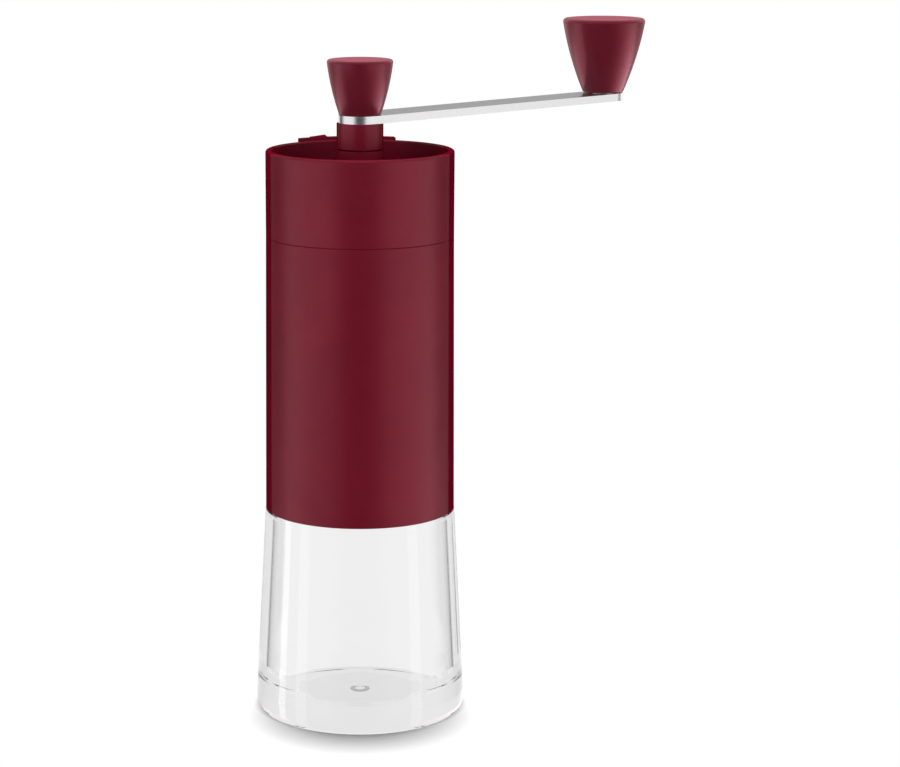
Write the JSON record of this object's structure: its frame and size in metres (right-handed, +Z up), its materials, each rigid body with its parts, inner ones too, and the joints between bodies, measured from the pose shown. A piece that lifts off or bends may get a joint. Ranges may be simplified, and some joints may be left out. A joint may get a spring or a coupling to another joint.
{
  "type": "manual coffee grinder",
  "caption": "Hand-cranked coffee grinder with a flared clear jar, dark red body and bean hopper, conical burr mill, flat steel crank and tapered knobs.",
  "frame": {"origin": "on the grinding axis at the flat foot of the jar", "axes": "+Z up along the grinding axis; the picture looks along +Y with +X to the right"},
  "size_m": [0.1204, 0.1133, 0.2017],
  "materials": {
    "glass": "clear",
    "silicone": "matt",
    "wine_plastic": "satin",
    "wine_knob": "semi-gloss",
    "black_plastic": "matt",
    "bearing_plastic": "natural",
    "steel": "brushed",
    "plated_steel": "plated",
    "burr_ceramic": "unglazed",
    "brass": "turned"
  },
  "bodies": {
    "jar": {"ground_jar": "glass", "jar_seal": "silicone"},
    "mill": {"body_shell": "wine_plastic", "hopper": "wine_plastic", "bearing_bridge": "wine_plastic", "upper_bush": "bearing_plastic", "burr_carrier": "black_plastic", "lower_bush": "bearing_plastic", "ring_burr": "burr_ceramic", "burr_retainer": "black_plastic", "retainer_screws": "plated_steel", "crank_clip": "wine_plastic", "clip_screws": "plated_steel"},
    "drive": {"spindle": "steel", "thrust_washer": "plated_steel", "spindle_clip": "plated_steel", "spring_washer": "plated_steel", "burr_spring": "steel"},
    "burr": {"cone_burr": "burr_ceramic", "burr_core": "black_plastic"},
    "adjuster": {"grind_adjuster": "black_plastic"},
    "crank": {"crank_arm": "steel", "crank_hub": "wine_plastic", "handle_pin": "steel", "handle_washer": "plated_steel"},
    "clamp": {"clamp_knob": "wine_knob", "clamp_insert": "brass"},
    "handle": {"handle_knob": "wine_knob", "handle_bush": "bearing_plastic"}
  },
  "joints": [
    {"name": "mill_lift", "type": "slide", "parent": "jar", "child": "mill", "axis": [0, 0, 1], "range_m": [0, 0.03]},
    {"name": "crank_turn", "type": "hinge", "parent": "mill", "child": "drive", "pos_m": [0, 0, 0.1686], "axis": [0, 0, 1], "continuous": true},
    {"name": "burr_slide", "type": "slide", "parent": "drive", "child": "burr", "axis": [0, 0, 1], "range_m": [-0.001, 0.0005], "deforming": ["burr_spring"]},
    {"name": "adjuster_turn", "type": "hinge", "parent": "burr", "child": "adjuster", "pos_m": [0, 0, 0.0778], "axis": [0, 0, 1], "range_deg": [-361, 181]},
    {"name": "crank_lift", "type": "slide", "parent": "drive", "child": "crank", "axis": [0, 0, 1], "range_m": [0, 0.02]},
    {"name": "clamp_lift", "type": "slide", "parent": "crank", "child": "clamp", "axis": [0, 0, 1], "range_m": [0, 0.012]},
    {"name": "handle_spin", "type": "hinge", "parent": "crank", "child": "handle", "pos_m": [0.0766, 0.06946, 0.1787], "axis": [0, 0, 1], "continuous": true}
  ],
  "couplings": [
    {"joint": "adjuster_turn", "follows": "burr_slide", "rad_per_m": 6283.2}
  ]
}
